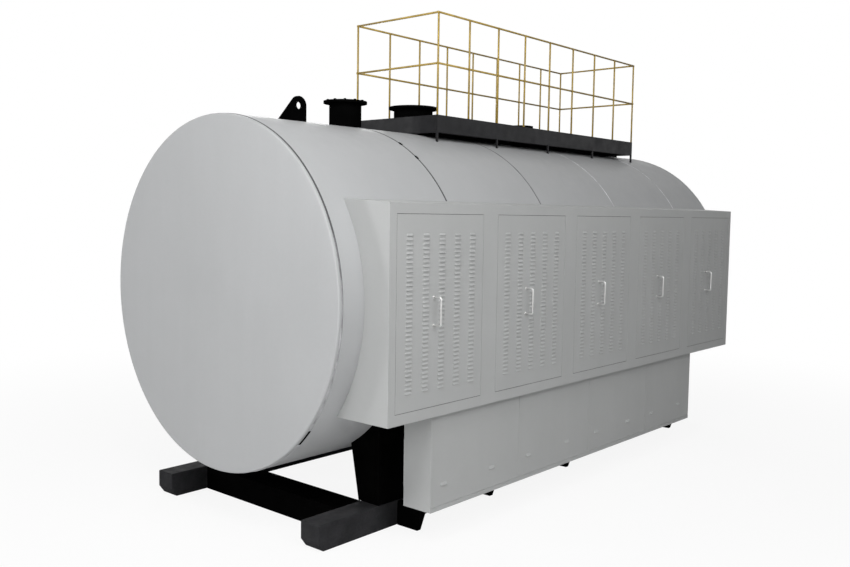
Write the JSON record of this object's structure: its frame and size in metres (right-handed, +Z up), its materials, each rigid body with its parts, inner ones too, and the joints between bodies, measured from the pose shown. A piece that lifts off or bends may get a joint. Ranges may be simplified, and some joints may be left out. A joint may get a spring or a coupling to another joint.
{
  "type": "industrial boiler",
  "caption": "Horizontal packaged boiler: a clad drum on a skid, with a louvred side cabinet, a skirt, flanged nozzles and a railed roof platform",
  "frame": {"origin": "on the floor, under the drum's axis and at the middle of its length, in the skid's underside", "axes": "+Y runs along the drum from its front end to its rear, +X points to the side cabinet, +Z is up"},
  "size_m": [3.5617, 7.25, 4.925],
  "materials": {
    "cladding": "satin silver-grey coated sheet",
    "cabinet_paint": "satin grey powder coat",
    "handle_metal": "bright plated",
    "skid_paint": "satin black paint",
    "platform_paint": "satin dark grey paint",
    "rail_paint": "gloss safety yellow paint"
  },
  "bodies": {
    "root": {"front_cover": "cladding", "rear_cover": "cladding", "cladding_band_1": "cladding", "cladding_band_2": "cladding", "cladding_band_3": "cladding", "cladding_band_4": "cladding", "cladding_band_5": "cladding", "cabinet_roof": "cabinet_paint", "cabinet_floor": "cabinet_paint", "cabinet_front_end": "cabinet_paint", "cabinet_rear_end": "cabinet_paint", "cabinet_bottom_rail": "cabinet_paint", "cabinet_top_rail": "cabinet_paint", "cabinet_stiles": "cabinet_paint", "louvre_panel_1": "cabinet_paint", "louvre_panel_2": "cabinet_paint", "louvre_panel_3": "cabinet_paint", "louvre_panel_4": "cabinet_paint", "louvre_panel_5": "cabinet_paint", "skirt_housing": "cabinet_paint", "skirt_panel_1": "cabinet_paint", "skirt_panel_2": "cabinet_paint", "skirt_panel_3": "cabinet_paint", "skirt_panel_4": "cabinet_paint", "panel_handles": "handle_metal", "skid_beam_left": "skid_paint", "skid_beam_right": "skid_paint", "cross_beams": "skid_paint", "outriggers": "skid_paint", "saddles": "skid_paint", "lifting_lug_front": "skid_paint", "lifting_lug_rear": "skid_paint", "nozzle_front": "skid_paint", "nozzle_middle": "skid_paint", "nozzle_rear": "skid_paint", "platform_beam_left": "platform_paint", "platform_beam_right": "platform_paint", "platform_end_front": "platform_paint", "platform_end_rear": "platform_paint", "platform_deck": "platform_paint", "platform_struts": "platform_paint", "handrail_left": "rail_paint", "handrail_right": "rail_paint", "handrail_front": "rail_paint", "handrail_rear": "rail_paint"}
  },
  "joints": []
}
